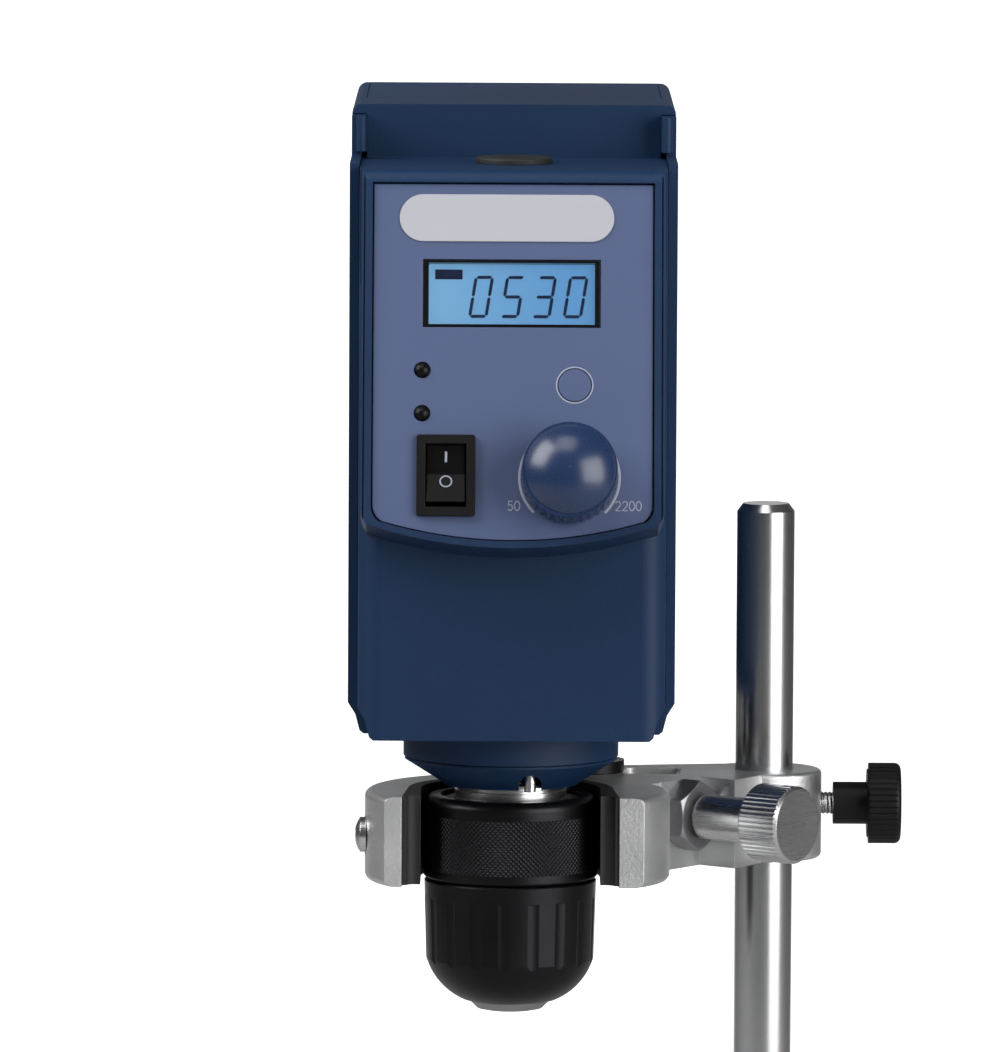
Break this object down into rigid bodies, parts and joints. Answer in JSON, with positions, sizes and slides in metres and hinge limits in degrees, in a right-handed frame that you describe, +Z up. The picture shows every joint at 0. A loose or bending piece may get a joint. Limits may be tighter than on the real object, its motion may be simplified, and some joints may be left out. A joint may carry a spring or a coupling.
{
  "type": "overhead stirrer",
  "caption": "Overhead stirrer head with a display panel, speed knob and keyless chuck, held by a cast U-shaped clamp on a round stand rod.",
  "frame": {"origin": "on the spindle axis at the mouth of the chuck", "axes": "+Z up along the spindle, -Y towards the operator, +X to the operator's right"},
  "size_m": [0.1431, 0.1945, 0.4208],
  "materials": {
    "housing_plastic": "textured dark-blue moulded plastic",
    "panel_plastic": "fine-textured light-blue plate",
    "label_plastic": "satin silver plate",
    "black_plastic": "glossy black moulded plastic",
    "black_matt_plastic": "matt black moulded plastic",
    "display_glass": "clear window",
    "display_lit": "lit display",
    "knob_plastic": "smooth blue moulded plastic",
    "black_rubber": "moulded rubber",
    "circuit_board": "printed circuit board",
    "steel": "turned steel",
    "rod_steel": "ground stainless bar",
    "cast_aluminium": "shot-blasted casting",
    "turned_aluminium": "turned and knurled",
    "chuck_black": "black oxide",
    "plate_steel": "painted plate",
    "motor_steel": "painted motor can",
    "belt_rubber": "flat belt"
  },
  "bodies": {
    "stand": {"stand_rod": "rod_steel"},
    "clamp": {"clamp_casting": "cast_aluminium", "clamp_liner": "black_rubber", "liner_screw": "steel", "tension_nut": "steel"},
    "rod_screw": {"rod_screw": "steel"},
    "rod_knob": {"rod_knob": "black_matt_plastic"},
    "post_screw": {"post_screw": "steel"},
    "post_knob": {"post_knob": "black_matt_plastic"},
    "tension_screw": {"tension_screw": "steel"},
    "tension_knob": {"tension_knob": "steel"},
    "head": {"front_cover": "housing_plastic", "rear_housing": "housing_plastic", "top_cover": "housing_plastic", "base_plate": "plate_steel", "control_panel": "panel_plastic", "label_plate": "label_plastic", "display_frame": "black_plastic", "display_window": "display_glass", "display_module": "display_lit", "status_lights": "black_plastic", "switch_frame": "black_matt_plastic", "encoder": "plate_steel", "control_board": "circuit_board", "power_board": "circuit_board", "inlet_socket": "black_matt_plastic", "cover_screws": "steel", "neck_collar": "housing_plastic", "neck_cone": "housing_plastic", "index_pin": "steel", "drive_frame": "cast_aluminium", "upper_bearing": "steel", "lower_bearing": "steel", "drive_belt": "belt_rubber", "motor": "motor_steel", "head_post": "steel"},
    "plug": {"shaft_plug": "black_rubber"},
    "mode_button": {"mode_button": "panel_plastic"},
    "rocker": {"switch_rocker": "black_plastic"},
    "knob_shaft": {"encoder_shaft": "steel"},
    "speed_knob": {"speed_knob": "knob_plastic"},
    "motor_rotor": {"motor_pulley": "turned_aluminium"},
    "spindle": {"spindle": "steel", "spindle_pulley": "turned_aluminium", "chuck_body": "steel", "chuck_rear_sleeve": "chuck_black", "chuck_nose_ring": "steel"},
    "chuck_sleeve": {"chuck_front_sleeve": "chuck_black", "chuck_nut": "steel"},
    "jaw_1": {"jaw_1": "steel"},
    "jaw_2": {"jaw_2": "steel"},
    "jaw_3": {"jaw_3": "steel"}
  },
  "joints": [
    {"name": "clamp_height", "type": "slide", "parent": "stand", "child": "clamp", "axis": [0, 0, 1], "range_m": [-0.14, 0.06]},
    {"name": "head_height", "type": "slide", "parent": "clamp", "child": "head", "axis": [0, 0, 1], "range_m": [0, 0.03]},
    {"name": "rod_screw_advance", "type": "slide", "parent": "clamp", "child": "rod_screw", "axis": [1, 0, 0], "range_m": [0, 0.003]},
    {"name": "rod_knob_turn", "type": "hinge", "parent": "rod_screw", "child": "rod_knob", "pos_m": [0.066, 0.048, 0.04763], "axis": [1, 0, 0], "range_deg": [0, 1080]},
    {"name": "post_screw_advance", "type": "slide", "parent": "clamp", "child": "post_screw", "axis": [0, 1, 0], "range_m": [0, 0.003]},
    {"name": "post_knob_turn", "type": "hinge", "parent": "post_screw", "child": "post_knob", "pos_m": [0.0205, 0.04, 0.0486], "axis": [0, 1, 0], "range_deg": [0, 1080]},
    {"name": "tension_screw_advance", "type": "slide", "parent": "clamp", "child": "tension_screw", "axis": [0.7939, -0.6081, 0], "range_m": [0, 0.003]},
    {"name": "tension_knob_turn", "type": "hinge", "parent": "tension_screw", "child": "tension_knob", "pos_m": [0.044, 0.022, 0.04763], "axis": [0.7939, -0.6081, 0], "range_deg": [0, 1080]},
    {"name": "plug_lift", "type": "slide", "parent": "head", "child": "plug", "axis": [0, 0, 1], "range_m": [0, 0.02]},
    {"name": "mode_press", "type": "slide", "parent": "head", "child": "mode_button", "axis": [0, 0.9703, -0.2419], "range_m": [0, 0.0005], "stiffness_N_per_m": 800},
    {"name": "rocker_tilt", "type": "hinge", "parent": "head", "child": "rocker", "pos_m": [-0.0167, -0.04324, 0.1403], "axis": [1, 0, 0], "range_deg": [0, 14]},
    {"name": "knob_push", "type": "slide", "parent": "head", "child": "knob_shaft", "axis": [0, 0.9703, -0.2419], "range_m": [0, 0.0005], "stiffness_N_per_m": 1500},
    {"name": "speed_turn", "type": "hinge", "parent": "knob_shaft", "child": "speed_knob", "pos_m": [0.0143, -0.04768, 0.14109], "axis": [0, -0.9703, 0.2419], "range_deg": [-135, 135]},
    {"name": "spindle_turn", "type": "hinge", "parent": "head", "child": "spindle", "pos_m": [0, 0, 0], "axis": [0, 0, 1], "continuous": true},
    {"name": "motor_turn", "type": "hinge", "parent": "head", "child": "motor_rotor", "pos_m": [0, 0.072, 0.16], "axis": [0, 0, 1], "continuous": true},
    {"name": "sleeve_turn", "type": "hinge", "parent": "spindle", "child": "chuck_sleeve", "pos_m": [0, 0, 0], "axis": [0, 0, 1], "range_deg": [-408, 1140]},
    {"name": "jaw_1_slide", "type": "slide", "parent": "spindle", "child": "jaw_1", "axis": [0, -0.2924, -0.9563], "range_m": [-0.0035, 0.0096]},
    {"name": "jaw_2_slide", "type": "slide", "parent": "spindle", "child": "jaw_2", "axis": [0.2532, 0.1462, -0.9563], "range_m": [-0.0035, 0.0096]},
    {"name": "jaw_3_slide", "type": "slide", "parent": "spindle", "child": "jaw_3", "axis": [-0.2532, 0.1462, -0.9563], "range_m": [-0.0035, 0.0096]}
  ],
  "couplings": [
    {"joint": "rod_screw_advance", "follows": "rod_knob_turn", "m_per_rad": 0.00015915},
    {"joint": "post_screw_advance", "follows": "post_knob_turn", "m_per_rad": 0.00015915},
    {"joint": "tension_screw_advance", "follows": "tension_knob_turn", "m_per_rad": 0.00015915},
    {"joint": "motor_turn", "follows": "spindle_turn", "ratio": 1.7},
    {"joint": "jaw_1_slide", "follows": "sleeve_turn", "m_per_rad": 0.00047746},
    {"joint": "jaw_2_slide", "follows": "sleeve_turn", "m_per_rad": 0.00047746},
    {"joint": "jaw_3_slide", "follows": "sleeve_turn", "m_per_rad": 0.00047746}
  ]
}
